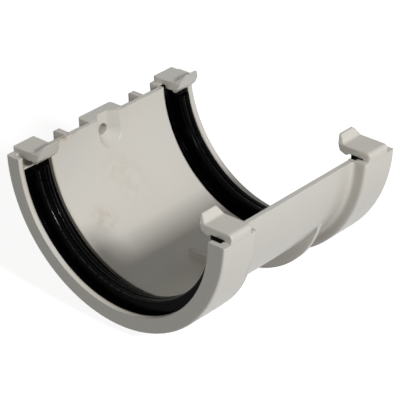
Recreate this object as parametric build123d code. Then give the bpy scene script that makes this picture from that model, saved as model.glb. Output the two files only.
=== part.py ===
from build123d import *
from math import asin, cos, degrees, radians, sin, sqrt
import os

# Gutter union: a half-round bracket that joins two lengths of rainwater gutter.
# The channel runs along X, its front is at -Y and the wall that it is screwed to is at +Y.
# Everything is drawn about the gutter's own axis and moved to its place at the end.
# Sections across the gutter are drawn for the back side: distance from the axis, then height.

# The gutter that it holds
gutter_radius = 56.0          # outside of a 112 mm gutter

# Channel, in section across the gutter
bore_gap = 0.6                # room between the gutter and the channel
lip_gap = 1.0                 # room between the gutter and the lip at each end
wall = 2.6                    # thickness of the channel between the collars
collar_wall = 8.15            # thickness of the collars, from the channel's inside
front_start = 43.6            # degrees below level where the collar's front turns flatter
front_extra = 6.5             # how much larger the radius of that front is
rim_height = -1.25            # top edge of the channel, measured from the gutter's axis
collar_top = -0.9

# Channel, along its length
total_length = 114.5
lip_length = 2.8
groove_length = 14.6
groove_depth = 5.2
rebate_length = 2.0           # shallow step that takes the flange of the seal
rebate_depth = 2.8
flank_wall = 1.3              # what is left of the collar beyond the seal, towards the middle
end_rounding = 1.05           # outer edge of the end faces
flank_rounding = 0.5          # outer edge of the collars towards the middle
flank_root = 1.6              # hollow where a collar's flank meets the channel

# Rubber seals
seal_side_gap = 0.15          # along the gutter, each side of the seal
seal_flange = 1.0             # thickness of the low parts of the seal, from the rebate
seal_rail_height = 1.2
seal_rail_width = 1.6
seal_rail_slope = 0.5
crown_height = 6.4            # the crown is squeezed flat when a gutter is clipped in
crown_gap = 1.0               # from a rail's slope to the root of the crown
crown_slope = 1.0             # how much the crown narrows on each side
crown_rounding = 1.2
crown_slit_width = 1.0
crown_slit_depth = 1.6
seal_front_gap = 0.2          # below the front strap
crown_front_drop = 2.2        # the crown stops lower than the rest at the front
seal_back_end = -7.3          # height where the seal stops at the back
ledge_thickness = 0.8         # small shelf that the back end of a seal stops against
ledge_setback = 0.6

# Clips, along the gutter
clip_inner_setback = 3.25     # from the collar's flank to the clips
clip_outer_setback = 4.65     # from the end face to the clips
clip_root = -6.0              # height where the clips leave the collar
strap_rounding = 0.5          # along the sides of a strap
strap_rounding_from = 0.7     # height from which a strap's sides are rounded

# Front clips, in section
front_under = -0.2            # underside of the strap
front_strap = 3.6             # thickness of the strap
front_bend = 2.0              # rounding where it turns down into the collar
front_slot_low = -2.0
front_slot_reach = 0.7        # how far the slot under the strap cuts into the collar
front_hook_gap = 1.4          # from the gutter's outside to the hook
front_hook_slope = 1.4
front_hook_width = 1.4
front_hook_depth = 1.0
front_nose = 2.7              # from the hook to the front of the nose
front_nose_low = 0.0
front_nose_rounding = 1.0
front_tab_root = 0.6          # the tab leans inwards by this, then by front_tab_lean
front_tab_start = 2.6
front_tab_lean = 1.1
front_tab_top = 6.9
front_tab_tip = 1.0           # thickness of its tip
front_fold = 2.5              # from the tab's inner face to the foot of its outer face
front_fold_rounding = 1.6
front_tab_shoulder = 3.0      # height at which the tab starts to narrow
front_tab_taper = 1.95
front_tab_corner = 1.1

# Back clips, in section
back_under = -2.4
back_strap = 4.4
back_rise = 0.1               # the strap is this much lower over the collar's outer edge
back_edge_gap = 0.25          # the strap stands out this far behind the collar
back_edge_rounding = 0.5
back_hook_gap = 2.4
back_hook_slope = 0.8
back_hook_width = 1.2
back_hook_depth = 1.2
back_nose = 2.0
back_nose_low = -1.4
back_nose_rounding = 2.0
back_tab_root = 1.2
back_tab_start = 1.2
back_tab_lean = 2.2
back_tab_top = 6.3
back_tab_tip = 0.8
back_fold = 3.0
back_fold_rise = 0.4          # the fold's height above the strap
back_fold_rounding = 2.5
back_shoulder_gap = 5.6       # from the tab's inner face to where the strap is level
back_tab_half_height = 1.8    # the lip is widest between these heights, above and below level
back_tab_taper = 2.5
back_tab_low_taper = 2.0
back_tab_corner = 1.3

# Wall side
wall_gap = 1.25               # between the back of the collars and the wall
rib_position = 24.9
rib_thickness = 3.2
rib_depth = 9.8               # below the channel
rib_sweep_inset = 6.9         # how much smaller the sweep of its foot is than the channel
rib_back_drop = 46.0
rib_foot_angle = 48.0
rib_corner = 6.0
rib_top_corner = 0.8
pad_half_width = 11.0
pad_top = -0.95
pad_drop = 26.0
pad_root_angle = 41.0         # where the pad's underside runs out on the channel, below level
pad_corner = 1.8
pad_low_corner = 3.0
screw_height = -9.4
screw_hole_radius = 2.75
screw_hole_length = 5.2
pocket_floor_half_width = 2.9
pocket_floor_spread = 0.4     # widening of the floor towards the top
pocket_overrun = 2.6          # the funnel is drawn this far past the channel's inside
pocket_mouth_half_width = 8.4
pocket_mouth_drop = 7.4       # how far the mouth reaches below the screw
pocket_top_half_width = 10.6
pocket_top = 3.0

# Stop between the two gutter ends
stop_length = 12.8
stop_thickness = 2.6
stop_height = 3.0

bore_radius = gutter_radius + bore_gap
lip_radius = gutter_radius + lip_gap
channel_radius = bore_radius + wall
collar_radius = bore_radius + collar_wall
groove_radius = bore_radius + groove_depth
rebate_radius = bore_radius + rebate_depth
front_radius = collar_radius + front_extra
wall_plane = collar_radius + wall_gap
half_length = total_length / 2
lip_start = half_length - lip_length
groove_start = lip_start - groove_length
rebate_start = groove_start - rebate_length
collar_start = rebate_start - flank_wall
clip_inner = collar_start + clip_inner_setback
clip_outer = half_length - clip_outer_setback
back_edge = collar_radius + back_edge_gap
front_top = front_under + front_strap
back_top = back_under + back_strap
seal_front_end = front_under - seal_front_gap
overlap = wall / 2            # how far pieces of the body reach into each other
above = 2 * wall_plane        # height and depth of the blocks that trim things level


def outline(points, radii={}):
    """A flat face with straight sides. Radii maps the place of a corner to its rounding."""
    face = make_face(Polyline(*points, close=True))
    for place, radius in radii.items():
        corner = min(face.vertices(), key=lambda v: (v.center() - Vector(*place)).length)
        face = fillet(corner, radius)
    return face


def turned(points, radii={}):
    """Turn a flat outline, drawn as (along, radius), about the gutter's axis."""
    return revolve(outline(points, radii), Axis.X, 360)


def both_ends(shape):
    return shape + mirror(shape, about=Plane.YZ)


def above_level(height, y_from=-above, y_to=above):
    """A block that holds all there is above a height, for one side of the channel or both."""
    middle = (0, (y_from + y_to) / 2, height + above / 2)
    return Pos(*middle) * Box(2 * total_length, y_to - y_from, above)


def front_centre():
    """Centre of the flatter front, as distance from the axis towards the back, and height."""
    angle = radians(front_start)
    return front_extra * cos(angle), front_extra * sin(angle)


def front_reach(height):
    """Distance from the axis to the front of a collar, at a height."""
    back, centre_height = front_centre()
    return sqrt(front_radius ** 2 - (height - centre_height) ** 2) - back


def channel():
    """The thin channel, with the hollow roots of the collars' flanks."""
    reach = (collar_start + rebate_start) / 2
    flank = channel_radius + 2 * flank_root
    half = turned([
        (0, bore_radius), (reach, bore_radius), (reach, flank), (collar_start, flank),
        (collar_start, channel_radius), (0, channel_radius),
    ], {(collar_start, channel_radius): flank_root})
    return both_ends(half) - above_level(rim_height)


def collar():
    """Thick end of the channel: round outside with a flatter front, grooved inside."""
    angle = radians(front_start)
    back, centre_height = front_centre()
    turn = asin(centre_height / front_radius)
    middle = (angle + turn) / 2
    start = (-collar_radius * cos(angle), -collar_radius * sin(angle))
    half_way = (back - front_radius * cos(middle), centre_height - front_radius * sin(middle))
    level = (-front_reach(0), 0)
    front = make_face([ThreePointArc(start, half_way, level), Polyline(level, (0, 0), start)])
    section = Circle(collar_radius) + front
    solid = extrude(Plane.YZ.offset(collar_start) * section, half_length - collar_start)
    solid = solid - above_level(collar_top)
    ends = solid.faces().filter_by(Axis.X).sort_by(Axis.X)
    solid = fillet(ends[-1].edges().filter_by(GeomType.CIRCLE), end_rounding)
    ends = solid.faces().filter_by(Axis.X).sort_by(Axis.X)
    solid = fillet(ends[0].edges().filter_by(GeomType.CIRCLE), flank_rounding)
    past = half_length + lip_length
    hollow = turned([
        (0, 0), (0, bore_radius), (rebate_start, bore_radius), (rebate_start, rebate_radius),
        (groove_start, rebate_radius), (groove_start, groove_radius), (lip_start, groove_radius),
        (lip_start, lip_radius), (past, lip_radius), (past, 0),
    ])
    return both_ends(solid - hollow)


def clip(section, tab, nose_end, side):
    """Strap over the edge of the gutter, with a hook below its end and a thumb lip above."""
    strap = extrude(Plane.YZ.offset(clip_inner) * section, clip_outer - clip_inner)
    edges = strap.edges().filter_by(Plane.YZ)
    strap = fillet([e for e in edges if e.center().Z > strap_rounding_from and e.center().Y > nose_end],
                   strap_rounding)
    nose_block = Pos(0, nose_end - above / 2) * Box(2 * total_length, above, above)
    nose = strap & nose_block & extrude(Plane.XZ * tab, -above)
    strap = strap - nose_block + nose
    if side < 0:
        strap = mirror(strap, about=Plane.XZ)
    return both_ends(strap)


def front_clips():
    hook_outer = gutter_radius - front_hook_gap
    hook_foot = hook_outer - front_hook_slope
    hook_tip = hook_foot - front_hook_width
    hook_low = front_under - front_hook_depth
    nose = hook_tip - front_nose
    tab_inner = nose - front_tab_root
    tab_tip = tab_inner - front_tab_lean
    fold = (tab_inner + front_fold, front_top)
    slot_end = groove_radius + front_slot_reach
    bend = (front_reach(front_top), front_top)
    section = outline([
        (groove_radius, clip_root), (groove_radius, front_slot_low),
        (slot_end, front_slot_low), (slot_end, front_under), (hook_outer, front_under),
        (hook_foot, hook_low), (hook_tip, hook_low), (nose, front_nose_low),
        (tab_inner, front_tab_start), (tab_tip, front_tab_top), (tab_tip + front_tab_tip, front_tab_top),
        fold, bend, (front_reach(clip_root), clip_root),
    ], {bend: front_bend, fold: front_fold_rounding, (nose, front_nose_low): front_nose_rounding})
    outer_top = clip_outer - front_tab_taper
    inner_top = clip_inner + front_tab_taper
    tab = outline([
        (clip_inner, clip_root), (clip_outer, clip_root), (clip_outer, front_tab_shoulder),
        (outer_top, front_tab_top), (inner_top, front_tab_top), (clip_inner, front_tab_shoulder),
    ], {(outer_top, front_tab_top): front_tab_corner, (inner_top, front_tab_top): front_tab_corner})
    return clip(section, tab, fold[0] + front_hook_slope, -1)


def back_clips():
    hook_outer = gutter_radius - back_hook_gap
    hook_foot = hook_outer - back_hook_slope
    hook_tip = hook_foot - back_hook_width
    hook_low = back_under - back_hook_depth
    nose = hook_tip - back_nose
    tab_inner = nose - back_tab_root
    tab_tip = tab_inner - back_tab_lean
    fold = (tab_inner + back_fold, back_top + back_fold_rise)
    edge = (back_edge, back_top - back_rise)
    section = outline([
        (groove_radius, clip_root), (groove_radius, back_under), (hook_outer, back_under),
        (hook_foot, hook_low), (hook_tip, hook_low), (nose, back_nose_low),
        (tab_inner, back_tab_start), (tab_tip, back_tab_top), (tab_tip + back_tab_tip, back_tab_top),
        fold, (tab_inner + back_shoulder_gap, back_top), edge,
        (back_edge, 0), (collar_radius * cos(asin(clip_root / collar_radius)), clip_root),
    ], {edge: back_edge_rounding, fold: back_fold_rounding, (nose, back_nose_low): back_nose_rounding})
    outer_top = clip_outer - back_tab_taper
    inner_top = clip_inner + back_tab_taper
    outer_low = clip_outer - back_tab_low_taper
    inner_low = clip_inner + back_tab_low_taper
    tab = outline([
        (inner_low, clip_root), (outer_low, clip_root), (clip_outer, -back_tab_half_height),
        (clip_outer, back_tab_half_height), (outer_top, back_tab_top), (inner_top, back_tab_top),
        (clip_inner, back_tab_half_height), (clip_inner, -back_tab_half_height),
    ], {(outer_top, back_tab_top): back_tab_corner, (inner_top, back_tab_top): back_tab_corner,
        (clip_outer, back_tab_half_height): back_tab_corner,
        (clip_inner, back_tab_half_height): back_tab_corner})
    return clip(section, tab, tab_inner + back_shoulder_gap, 1)


def rib():
    """Deep web under the channel that runs up its back to the wall."""
    sweep_radius = channel_radius - rib_sweep_inset
    sweep_height = sweep_radius - channel_radius - rib_depth
    angle = radians(rib_foot_angle)
    foot = (sweep_radius * cos(angle), sweep_height - sweep_radius * sin(angle))
    back_low = (wall_plane, rim_height - rib_back_drop)
    back_high = (wall_plane, rim_height)
    back = outline([(0, rim_height), back_high, back_low, foot, (0, sweep_height)],
                   {back_low: rib_corner, back_high: rib_top_corner})
    sweep = Pos(0, sweep_height) * Circle(sweep_radius)
    over = Pos(0, rim_height + above / 2) * Rectangle(2 * above, above)
    face = sweep + back - Circle(channel_radius - overlap) - over
    return both_ends(extrude(Plane.YZ.offset(rib_position - rib_thickness / 2) * face, rib_thickness))


def pad():
    """Block behind the middle of the channel that takes the screw."""
    low = (wall_plane, pad_top - pad_drop)
    angle = radians(pad_root_angle)
    root = (channel_radius * cos(angle), -channel_radius * sin(angle))
    side = outline([(0, pad_top), (wall_plane, pad_top), low, root, (0, -wall)], {low: pad_low_corner})
    block = extrude(Plane.YZ * side, pad_half_width, both=True)
    upright = block.edges().filter_by(Axis.Z).sort_by(Axis.Y)[-2:]
    block = fillet(upright, pad_corner)
    return block - Cylinder(channel_radius - overlap, 2 * total_length, rotation=(0, 90, 0))


def pocket():
    """Funnel cut from inside for the screw's head, open at the top, and the screw's hole."""
    def opening(top_half, half, drop):
        top = [(-half, screw_height), (-top_half, pocket_top), (top_half, pocket_top), (half, screw_height)]
        round_end = ThreePointArc(top[3], (0, screw_height - drop), top[0])
        return make_face([Polyline(*top), round_end])
    floor_half = pocket_floor_half_width
    floor = opening(floor_half + pocket_floor_spread, floor_half, floor_half)
    mouth = opening(pocket_top_half_width, pocket_mouth_half_width, pocket_mouth_drop)
    facing = Plane(origin=(0, 0, 0), x_dir=(1, 0, 0), z_dir=(0, -1, 0))
    floor_plane = facing.offset(screw_hole_length - wall_plane)
    mouth_plane = facing.offset(pocket_overrun - bore_radius)
    funnel = loft([floor_plane * floor, mouth_plane * mouth], ruled=True)
    hole = Pos(0, wall_plane, screw_height) * Cylinder(screw_hole_radius, 3 * screw_hole_length,
                                                       rotation=(90, 0, 0))
    return funnel + hole


def ledges():
    """Shelves across the back of both grooves, which the seals stop against."""
    inner = lip_radius + ledge_setback
    ring = turned([
        (groove_start, inner), (lip_start, inner),
        (lip_start, groove_radius + overlap), (groove_start, groove_radius + overlap),
    ])
    slab = Pos(0, groove_radius, seal_back_end + ledge_thickness / 2) * Box(total_length, bore_radius,
                                                                            ledge_thickness)
    return both_ends(ring & slab)


def stop():
    """Small block on the floor of the channel that keeps the two gutter ends apart."""
    height = stop_height + overlap
    return Pos(0, 0, stop_height - bore_radius - height / 2) * Box(stop_thickness, stop_length, height)


def union_body():
    body = channel() + collar() + rib() + pad() + front_clips() + back_clips() + ledges() + stop()
    return body - pocket()


def seal():
    """Rubber strip in the groove of one collar, with a split crown that presses on the gutter."""
    start = rebate_start + seal_side_gap
    deep_start = groove_start + seal_side_gap
    end = lip_start - seal_side_gap
    centre = (groove_start + lip_start) / 2
    low = rebate_radius - seal_flange
    rail = low - seal_rail_height
    crown = low - crown_height
    inner_rail = groove_start + seal_rail_width
    outer_rail = lip_start - seal_rail_width
    half_root = groove_length / 2 - seal_rail_width - seal_rail_slope - crown_gap
    half_crown = half_root - crown_slope
    half_slit = crown_slit_width / 2
    strip = turned([
        (start, rebate_radius), (start, low), (groove_start, low), (deep_start, rail),
        (inner_rail, rail), (inner_rail + seal_rail_slope, low), (centre - half_root, low),
        (centre - half_crown, crown), (centre - half_slit, crown), (centre, crown + crown_slit_depth),
        (centre + half_slit, crown), (centre + half_crown, crown), (centre + half_root, low),
        (outer_rail - seal_rail_slope, low), (outer_rail, rail), (end, rail), (end, groove_radius),
        (deep_start, groove_radius), (deep_start, rebate_radius),
    ], {(centre - half_crown, crown): crown_rounding, (centre + half_crown, crown): crown_rounding})
    strip = strip - above_level(seal_front_end, y_to=0) - above_level(seal_back_end, y_from=0)
    crown_end = above_level(seal_front_end - crown_front_drop, y_from=-rail, y_to=0)
    return strip - crown_end


body = union_body()
right_seal = seal()
left_seal = mirror(right_seal, about=Plane.YZ)

# The origin is the middle of the foot
extent = body.bounding_box()
foot = Pos(0, -extent.center().Y, -extent.min.Z)

os.makedirs("parts", exist_ok=True)
export_step(foot * body, "parts/union_body.step")
export_step(foot * right_seal, "parts/right_seal.step")
export_step(foot * left_seal, "parts/left_seal.step")
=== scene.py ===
from math import pi, radians
import bpy
import numpy as np
from mathutils import Matrix, Vector


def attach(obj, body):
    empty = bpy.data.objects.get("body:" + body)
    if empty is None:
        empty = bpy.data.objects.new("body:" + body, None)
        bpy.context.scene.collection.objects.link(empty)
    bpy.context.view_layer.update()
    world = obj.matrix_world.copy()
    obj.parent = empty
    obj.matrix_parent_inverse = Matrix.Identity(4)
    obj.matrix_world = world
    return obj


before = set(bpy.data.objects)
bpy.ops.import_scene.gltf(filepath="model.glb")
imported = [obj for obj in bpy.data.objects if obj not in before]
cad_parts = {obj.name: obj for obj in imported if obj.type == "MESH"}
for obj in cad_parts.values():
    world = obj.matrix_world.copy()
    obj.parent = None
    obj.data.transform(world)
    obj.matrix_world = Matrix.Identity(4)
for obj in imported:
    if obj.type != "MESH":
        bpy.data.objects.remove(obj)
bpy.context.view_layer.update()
scene = bpy.context.scene
print("loaded", len(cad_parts), "moulded pieces")


# A socket that takes + - * / in plain expressions and adds the Math nodes for them
class Wire:
    def __init__(self, sheet, socket):
        self.sheet = sheet
        self.socket = socket

    def math(self, operation, first, second, clamp=False):
        settings = {"operation": operation, "use_clamp": clamp}
        return self.sheet.node("Math", settings, {0: first, 1: second})

    def __add__(self, other):
        return self.math("ADD", self, other)

    def __radd__(self, other):
        return self.math("ADD", other, self)

    def __sub__(self, other):
        return self.math("SUBTRACT", self, other)

    def __rsub__(self, other):
        return self.math("SUBTRACT", other, self)

    def __mul__(self, other):
        return self.math("MULTIPLY", self, other)

    def __rmul__(self, other):
        return self.math("MULTIPLY", other, self)

    def __truediv__(self, other):
        return self.math("DIVIDE", self, other)

    def __rtruediv__(self, other):
        return self.math("DIVIDE", other, self)

    def held(self):  # kept between 0 and 1
        return self.math("ADD", self, 0.0, True)

    def unsigned(self):
        return self.math("ABSOLUTE", self, 0.0)

    def centred(self):  # a noise round 0 instead of round a half
        return self - 0.5


# A material's or the world's nodes. node() adds one: its settings are set first, then its sockets
class NodeSheet:
    def __init__(self, owner):
        owner.use_nodes = True
        self.tree = owner.node_tree
        self.tree.nodes.clear()

    def node(self, kind, settings=None, values=None, output=0):
        made = self.tree.nodes.new("ShaderNode" + kind)
        for name, setting in (settings or {}).items():
            setattr(made, name, setting)
        for name, value in (values or {}).items():
            if isinstance(value, Wire):
                self.tree.links.new(value.socket, made.inputs[name])
            else:
                made.inputs[name].default_value = value
        return Wire(self, made.outputs[output])

    # A Mix node has sockets of its own for colours and for vectors, which go by number
    def mixColours(self, factor, first, second):
        return self.node("Mix", {"data_type": "RGBA"}, {0: factor, 6: first, 7: second}, 2)

    def mixVectors(self, factor, first, second):
        return self.node("Mix", {"data_type": "VECTOR"}, {0: factor, 4: first, 5: second}, 1)

    def vectors(self, operation, values, output=0):
        return self.node("VectorMath", {"operation": operation}, values, output)

    def noise(self, place, size, detail=2.0, roughness=0.5):  # size of a patch in metres
        values = {"Vector": place, "Scale": 1 / size, "Detail": detail, "Roughness": roughness}
        return self.node("TexNoise", {}, values)

    def ramp(self, value, low, high):  # soft step from 0 at low to 1 at high
        values = {"Value": value, "From Min": low, "From Max": high}
        return self.node("MapRange", {"interpolation_type": "SMOOTHSTEP"}, values)

    def distance(self, place, centre, squeeze):  # from the centre, after each way's squeeze
        away = self.vectors("SUBTRACT", {0: place, 1: centre})
        return self.vectors("LENGTH", {0: self.vectors("MULTIPLY", {0: away, 1: squeeze})}, "Value")

    def alongGutter(self, place):  # distance from the middle of the part
        return self.node("SeparateXYZ", {}, {"Vector": place}).unsigned()

    def lines(self, along, places, width):  # 1 on each line, fading to 0 a width away
        drawn = 0.0
        for where in places:
            drawn = drawn + (1.0 - (along - where).unsigned() / width).held()
        return drawn

    def roundedEdges(self, radius, samples):
        return self.node("Bevel", {"samples": samples}, {"Radius": radius})

    def bump(self, height, depth, strength, normal):
        values = {"Height": height, "Distance": depth, "Strength": strength, "Normal": normal}
        return self.node("Bump", {}, values)

    def finish(self, shader, kind="OutputMaterial"):
        out = self.tree.nodes.new("ShaderNode" + kind)
        self.tree.links.new(shader.socket, out.inputs["Surface"])


# Body: warm grey PVC with a soft gloss, the faint clouding of a moulding, a little site dirt, and
# painted shade on the end faces and in the screw's hole.
# Lengths are in metres. Places along the gutter are distances from the middle, the same both ways
pvc = {
    "colour": (0.584, 0.570, 0.536, 1.0),
    "warmer": (0.590, 0.560, 0.504, 1.0),
    "cloudSize": 0.030,
    "cloudDepth": 0.05,
    "speckSize": 0.004,
    "speckDetail": 3.0,
    "speckRoughness": 0.6,
    "speckDepth": 0.02,
    "flowSize": 0.0022,               # marks of the moulding, drawn out along the gutter
    "flowStretch": (0.12, 1.0, 1.0),
    "flowHeight": 0.5,                # as a share of the grain's
    "roughness": 0.32,
    "roughnessSpread": 0.06,
    "refraction": 1.5,
    "specular": 0.5,
    "grainSize": 0.0006,
    "grainDetail": 1.0,
    "grainDepth": 0.00002,
    "grainStrength": 0.25,
    "edgeRadius": 0.0007,
    "edgeSamples": 6,
    "broadRadius": 0.0024,            # the flanks of the collars and the ribs have fuller edges
    "broadSamples": 8,
    "broadFrom": 0.0592,              # distance from the gutter's axis
    "broadBeyond": 0.0150,            # outside the screw pad
    "broadWithin": 0.0402,            # just past the collars' flanks
    "broadFade": 0.0006,
    "stain": (0.38, 0.27, 0.16, 1.0),
    "stains": [                       # middle, reach, squeeze along the gutter, strength
        ((-0.022, 0.040, 0.029), 0.010, 1.0, 0.38),
        ((0.004, 0.046, 0.036), 0.020, 1.0, 0.12),
        ((-0.004, 0.050, 0.044), 0.016, 1.0, 0.10),
        ((-0.0265, 0.0575, 0.0678), 0.0024, 0.30, 1.0),
        ((-0.0350, 0.0570, 0.0678), 0.0022, 0.35, 1.0),
    ],
    "stainPatches": (0.36, 0.60),     # values of the specks where a stain starts and is full
    "stainRoughness": 0.3,
    "grime": (0.30, 0.23, 0.14, 1.0),
    "grimeLines": (0.03765, 0.05470),  # beside each seal, inside the channel
    "grimeWidth": 0.0006,
    "grimeStrength": 0.70,
    "grimePatches": (0.25, 0.55),     # values of the clouds
    "axisPlace": (0.0, 0.00018, 0.069),
    "insideRadius": 0.0583,
    "insideFade": 0.0004,
    "holePlace": (0.0, 0.0640, 0.0596),
    "holeReach": 0.0032,
    "holeFade": 0.001,
    "paintedHoleShade": 0.60,                # painted shade in the screw's hole
    "endPlace": 0.05715,
    "endFade": 0.0003,
    "paintedEndShade": 0.22,                 # painted shade on the end faces
}


def makePvc():
    material = bpy.data.materials.new("softGlossGreyPvc")
    sheet = NodeSheet(material)
    place = sheet.node("TexCoord", output="Object")
    along = sheet.alongGutter(place)
    radius = sheet.distance(place, pvc["axisPlace"], (0.0, 1.0, 1.0))
    cloud = sheet.noise(place, pvc["cloudSize"])
    speck = sheet.noise(place, pvc["speckSize"], pvc["speckDetail"], pvc["speckRoughness"])
    stretched = sheet.node("Mapping", {}, {"Vector": place, "Scale": pvc["flowStretch"]})
    flow = sheet.noise(stretched, pvc["flowSize"])

    # The plastic's own colour, with painted shade in the screw's hole and on the end faces
    atEnd = sheet.ramp(along, pvc["endPlace"] - pvc["endFade"], pvc["endPlace"])
    fromHole = sheet.vectors("DISTANCE", {0: place, 1: pvc["holePlace"]}, "Value")
    inHole = sheet.ramp(fromHole, pvc["holeReach"], pvc["holeReach"] - pvc["holeFade"])
    shade = 1.0 + cloud.centred() * pvc["cloudDepth"] + speck.centred() * pvc["speckDepth"]
    # painted shade: darker on the end faces and in the screw's hole
    shade = shade - atEnd * pvc["paintedEndShade"] - inHole * pvc["paintedHoleShade"]
    colour = sheet.mixColours(cloud, pvc["colour"], pvc["warmer"])
    colour = sheet.vectors("SCALE", {0: colour, "Scale": shade})

    # Stains that break up into specks, and thin lines of grime beside the seals
    stained = 0.0
    patches = sheet.ramp(speck, *pvc["stainPatches"])
    for middle, reach, squeeze, strength in pvc["stains"]:
        away = sheet.distance(place, middle, (squeeze, 1.0, 1.0))
        stained = stained + sheet.ramp(away, reach, 0.0) * patches * strength
    colour = sheet.mixColours(stained.held(), colour, pvc["stain"])
    inside = sheet.ramp(radius, pvc["insideRadius"], pvc["insideRadius"] - pvc["insideFade"])
    grime = sheet.lines(along, pvc["grimeLines"], pvc["grimeWidth"])
    grime = grime * inside * sheet.ramp(cloud, *pvc["grimePatches"]) * pvc["grimeStrength"]
    colour = sheet.mixColours(grime.held(), colour, pvc["grime"])
    roughness = pvc["roughness"] + flow.centred() * pvc["roughnessSpread"]
    roughness = roughness + stained * pvc["stainRoughness"]

    # Soft edges everywhere, and fuller ones on the flanks and ribs, under a fine grain
    fade = pvc["broadFade"]
    fuller = sheet.ramp(radius, pvc["broadFrom"], pvc["broadFrom"] + fade)
    fuller = fuller * sheet.ramp(along, pvc["broadWithin"] + fade, pvc["broadWithin"])
    fuller = fuller * sheet.ramp(along, pvc["broadBeyond"], pvc["broadBeyond"] + fade)
    soft = sheet.roundedEdges(pvc["edgeRadius"], pvc["edgeSamples"])
    broad = sheet.roundedEdges(pvc["broadRadius"], pvc["broadSamples"])
    edges = sheet.vectors("NORMALIZE", {0: sheet.mixVectors(fuller, soft, broad)})
    grain = sheet.noise(place, pvc["grainSize"], pvc["grainDetail"])
    height = grain + flow * pvc["flowHeight"]
    normal = sheet.bump(height, pvc["grainDepth"], pvc["grainStrength"], edges)
    skin = sheet.node("BsdfPrincipled", {}, {
        "Base Color": colour, "Roughness": roughness, "Normal": normal,
        "IOR": pvc["refraction"], "Specular IOR Level": pvc["specular"]})
    sheet.finish(skin)
    return material


# Seals: black rubber, dull all over but for thin shiny lines along the edges that are drawn tight
rubber = {
    "colour": (0.0006, 0.0007, 0.0008, 1.0),
    "dusty": (0.0030, 0.0030, 0.0030, 1.0),
    "dustSize": 0.006,
    "dustDetail": 3.0,
    "dustRoughness": 0.6,
    "dustPatches": (0.5, 0.75),
    "roughness": 0.16,
    "roughnessSpread": 0.14,
    "specular": 0.025,
    "edgeRadius": 0.0004,
    "edgeSamples": 6,
    "rippleSize": 0.0014,
    "rippleDepth": 0.0001,
    "rippleStrength": 0.3,
    "shinyLines": (0.0414, 0.0466, 0.0499, 0.0529),  # distances from the middle of the part
    "shinyWidth": 0.0004,
    "shinyPatches": (0.30, 0.60),                    # values of the ripples
    "shinyStrength": 0.55,
    "shinyRoughness": 0.14,
    "shinySpecular": 0.5,
}


def makeRubber():
    material = bpy.data.materials.new("blackSealRubber")
    sheet = NodeSheet(material)
    place = sheet.node("TexCoord", output="Object")
    along = sheet.alongGutter(place)
    dust = sheet.noise(place, rubber["dustSize"], rubber["dustDetail"], rubber["dustRoughness"])
    ripple = sheet.noise(place, rubber["rippleSize"])
    dusty = sheet.ramp(dust, *rubber["dustPatches"])
    colour = sheet.mixColours(dusty, rubber["colour"], rubber["dusty"])
    roughness = rubber["roughness"] + dust.centred() * rubber["roughnessSpread"]
    edges = sheet.roundedEdges(rubber["edgeRadius"], rubber["edgeSamples"])
    normal = sheet.bump(ripple, rubber["rippleDepth"], rubber["rippleStrength"], edges)
    dull = sheet.node("BsdfPrincipled", {}, {
        "Base Color": colour, "Roughness": roughness, "Normal": normal,
        "Specular IOR Level": rubber["specular"]})
    drawnTight = sheet.node("BsdfPrincipled", {}, {
        "Base Color": colour, "Roughness": rubber["shinyRoughness"], "Normal": normal,
        "Specular IOR Level": rubber["shinySpecular"]})
    shiny = sheet.lines(along, rubber["shinyLines"], rubber["shinyWidth"])
    shiny = shiny * sheet.ramp(ripple, *rubber["shinyPatches"]) * rubber["shinyStrength"]
    sheet.finish(sheet.node("MixShader", {}, {0: shiny.held(), 1: dull, 2: drawnTight}))
    return material


def dress(name, material):
    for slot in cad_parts[name].material_slots:
        slot.material = material


bodyPvc = makePvc()
sealRubber = makeRubber()
dress("union_body", bodyPvc)
dress("left_seal", sealRubber)
dress("right_seal", sealRubber)
print("finishes on")


# The far seal lies higher in its groove than the near one: its end laps over the shelf and meets
# the strap
sealEnd = {
    "sides": (0.0381, 0.0543),           # these four are places along the gutter
    "grooveSide": 0.0400,
    "crownFoot": (0.04295, 0.05135),
    "crownTop": (0.04395, 0.05035),
    "front": 0.0567,                     # these five are places towards the wall
    "crown": 0.0532,
    "skirtBack": 0.0570,
    "rebateBack": 0.0589,
    "grooveBack": 0.0611,
    "skirtNotch": 0.00002,               # a hair of the rebate, so both outlines have 10 points
    "low": 0.0618,                       # these four are heights
    "shelfEdge": 0.06252,
    "shelfTop": 0.06256,
    "top": 0.06642,
    "lean": 0.0005,                      # towards the wall, as the end follows the collar's curve
    "flangeSides": (0.0381, 0.03975),
    "flangeFront": 0.0572,
    "flangeTop": 0.0683,
}


# A closed shell: outlines of equally many points, one at each height, with straight walls between
# them and a flat cap at the bottom and the top
def stackedShell(outlines, heights, start):
    rings = np.array(outlines)
    levels, count = rings.shape[:2]
    upright = np.repeat(heights, count).reshape(levels, count)
    points = np.dstack([rings, upright]).reshape(-1, 3)
    number = start + np.arange(levels * count).reshape(levels, count)
    following = np.roll(number, -1, axis=1)
    walls = np.stack([number[:-1], following[:-1], following[1:], number[1:]], axis=-1)
    caps = [number[0, ::-1].tolist(), number[-1].tolist()]
    return points, walls.reshape(-1, 4).tolist() + caps


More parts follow.
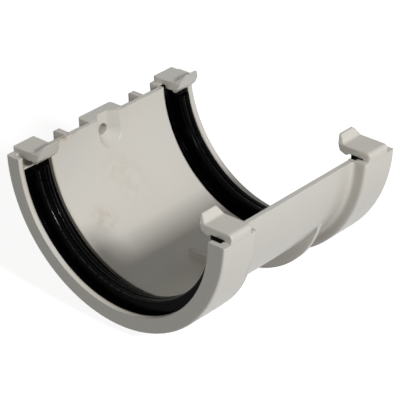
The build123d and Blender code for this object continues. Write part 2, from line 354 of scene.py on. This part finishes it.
# Two shells. The first has the crown's front all the way up, and its back steps out from the skirt
# to the groove at the shelf, then leans with the collar. The second is the flange that stands on it
def makeSealEnd():
    left, right = sealEnd["sides"]
    groove = sealEnd["grooveSide"]
    footLeft, footRight = sealEnd["crownFoot"]
    topLeft, topRight = sealEnd["crownTop"]
    front, crown = sealEnd["front"], sealEnd["crown"]
    crownLine = [(left, front), (footLeft, front), (topLeft, crown),
                 (topRight, crown), (footRight, front), (right, front)]

    def outline(back, rebate):
        return crownLine + [(right, back), (groove, back), (groove, rebate), (left, rebate)]

    skirt = np.array(outline(sealEnd["skirtBack"], sealEnd["skirtBack"] - sealEnd["skirtNotch"]))
    block = np.array(outline(sealEnd["grooveBack"], sealEnd["rebateBack"]))
    leaning = block + (0.0, sealEnd["lean"])
    heights = [sealEnd[name] for name in ("low", "shelfEdge", "shelfTop", "top")]
    points, faces = stackedShell([skirt, skirt, block, leaning], heights, 0)

    near, far = sealEnd["flangeSides"]
    flange = [(near, sealEnd["flangeFront"]), (far, sealEnd["flangeFront"]),
              (far, sealEnd["rebateBack"]), (near, sealEnd["rebateBack"])]
    heights = [sealEnd["top"], sealEnd["flangeTop"]]
    morePoints, moreFaces = stackedShell([flange, flange], heights, len(points))

    mesh = bpy.data.meshes.new("right_seal_end")
    mesh.from_pydata(np.vstack([points, morePoints]).tolist(), [], faces + moreFaces)
    mesh.materials.append(sealRubber)
    piece = bpy.data.objects.new("right_seal_end", mesh)
    scene.collection.objects.link(piece)
    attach(piece, "root")


makeSealEnd()
print("far seal's end made")


# Floor, white to the eye and with the part's soft shadow, a white room round it and one softbox
studio = {
    "floorColour": (0.35, 0.35, 0.35, 1.0),
    "floorLift": 0.88,  # how much of the floor's white is its own
    "floorSize": 6.0,
    "roomColour": (1.0, 0.985, 0.935, 1.0),
    "white": (1.0, 1.0, 1.0, 1.0),
    "roomLight": {"right": 0.12, "left": 0.53, "behind": 0.20, "front": 0.21,
                  "above": 0.09, "below": 0.10},
    "boxPlace": (-0.33, -2.12, 1.32),
    "boxAim": (0.0, 0.0, 0.035),
    "boxSize": 0.38,
    "boxPower": 53.0,
    "boxColour": (1.0, 1.0, 1.0),
}


def seenDirectly(sheet):  # 1 for what the camera sees, straight or in a gloss
    kinds = sheet.node("LightPath").socket.node.outputs
    camera, glossy, clear = (Wire(sheet, kinds[name]) for name in
                             ("Is Camera Ray", "Is Glossy Ray", "Is Transmission Ray"))
    return (camera + glossy + clear).held()


def makeFloor():  # a level square, its corners half its size each way from the middle
    corners = studio["floorSize"] / 2 * np.array([(-1, -1, 0), (1, -1, 0), (1, 1, 0), (-1, 1, 0)])
    mesh = bpy.data.meshes.new("floor")
    mesh.from_pydata(corners.tolist(), [], [(0, 1, 2, 3)])
    floor = bpy.data.objects.new("floor", mesh)
    scene.collection.objects.link(floor)
    material = bpy.data.materials.new("paleFloor")
    sheet = NodeSheet(material)
    paint = sheet.node("BsdfDiffuse", {}, {"Color": studio["floorColour"]})
    lift = seenDirectly(sheet) * studio["floorLift"]
    glow = sheet.node("Emission", {}, {"Color": studio["white"], "Strength": lift})
    sheet.finish(sheet.node("AddShader", {}, {0: paint, 1: glow}))
    mesh.materials.append(material)


# Light from six sides: each one's strength times the square of the direction's part towards it
def makeRoom():
    world = bpy.data.worlds.new("whiteRoom")
    scene.world = world
    sheet = NodeSheet(world)
    toward = sheet.node("TexCoord", output="Generated")
    ways = sheet.node("SeparateXYZ", {}, {"Vector": toward}).socket.node.outputs
    sides = (("right", "left"), ("behind", "front"), ("above", "below"))
    light = 0.0
    for way, (plusSide, minusSide) in zip(ways, sides):
        toSide = Wire(sheet, way)
        plus = toSide.math("MAXIMUM", toSide, 0.0)
        minus = toSide.math("MINIMUM", toSide, 0.0)
        light = light + plus * plus * studio["roomLight"][plusSide]
        light = light + minus * minus * studio["roomLight"][minusSide]
    seen = seenDirectly(sheet)
    strength = light * (1.0 - seen) + seen
    colour = sheet.mixColours(seen, studio["roomColour"], studio["white"])
    room = sheet.node("Background", {}, {"Color": colour, "Strength": strength})
    sheet.finish(room, "OutputWorld")


def makeSoftbox():
    lamp = bpy.data.lights.new("softbox", "AREA")
    lamp.shape = "SQUARE"
    lamp.size = studio["boxSize"]
    lamp.energy = studio["boxPower"]
    lamp.color = studio["boxColour"]
    box = bpy.data.objects.new("softbox", lamp)
    scene.collection.objects.link(box)
    box.location = studio["boxPlace"]
    aim = Vector(studio["boxAim"]) - box.location
    box.rotation_euler = aim.to_track_quat("-Z", "Y").to_euler()


makeFloor()
makeRoom()
makeSoftbox()
print("studio set up")


# Camera, where the photograph was taken from. Turns are in degrees
shot = {
    "place": (-0.62422, -0.58239, 0.52200),
    "round": -46.98,
    "down": 29.285,
    "roll": -1.80,
    "lens": 194.0,
    "filmWidth": 36.0,
    "nearest": 0.01,
    "farthest": 50.0,
}


def makeCamera():
    lens = bpy.data.cameras.new("camera")
    lens.lens = shot["lens"]
    lens.sensor_width = shot["filmWidth"]
    lens.clip_start = shot["nearest"]
    lens.clip_end = shot["farthest"]
    camera = bpy.data.objects.new("camera", lens)
    scene.collection.objects.link(camera)
    turn = Matrix.Rotation(radians(shot["round"]), 4, "Z")
    tilt = Matrix.Rotation(pi / 2 - radians(shot["down"]), 4, "X")
    roll = Matrix.Rotation(radians(shot["roll"]), 4, "Z")
    camera.matrix_world = Matrix.Translation(shot["place"]) @ turn @ tilt @ roll
    scene.camera = camera


makeCamera()
scene.view_settings.view_transform = "Standard"

print("camera in place")
